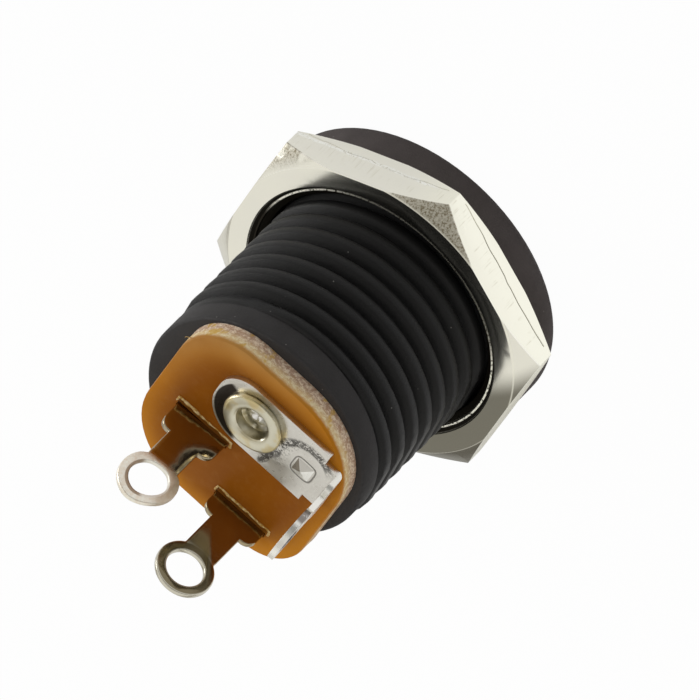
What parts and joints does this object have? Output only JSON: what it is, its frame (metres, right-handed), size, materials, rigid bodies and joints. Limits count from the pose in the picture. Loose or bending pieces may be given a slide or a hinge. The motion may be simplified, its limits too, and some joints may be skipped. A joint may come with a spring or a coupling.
{
  "type": "dc barrel jack",
  "caption": "Panel-mount DC power socket: threaded plastic barrel with front flange, hex nut, centre pin and solder lugs at the rear.",
  "frame": {"origin": "centre of the flange's flat front face, on the barrel's axis", "axes": "+Z along the barrel from the flange to the solder lugs; X through the offset socket; the part stands on its front face"},
  "size_m": [0.0162, 0.0142, 0.0182],
  "materials": {
    "black_plastic": "moulded, slightly grained",
    "nickel_nut": "nickel plated, fine scratches",
    "phenolic": "waxy laminate with a fibrous sheared edge",
    "nickel_pin": "nickel plated",
    "tinned_strip": "bright plated strip with scuffs",
    "nickel_strip": "mirror-bright nickel plated strip"
  },
  "bodies": {
    "jack": {"housing": "black_plastic", "terminal_plate": "phenolic", "centre_pin": "nickel_pin", "pin_terminal": "tinned_strip", "sleeve_spring": "nickel_strip", "switch_contact": "nickel_strip"},
    "nut": {"hex_nut": "nickel_nut"}
  },
  "joints": [
    {"name": "nut_travel", "type": "slide", "parent": "jack", "child": "nut", "axis": [0, 0, 1], "range_m": [0, 0.0083]}
  ]
}
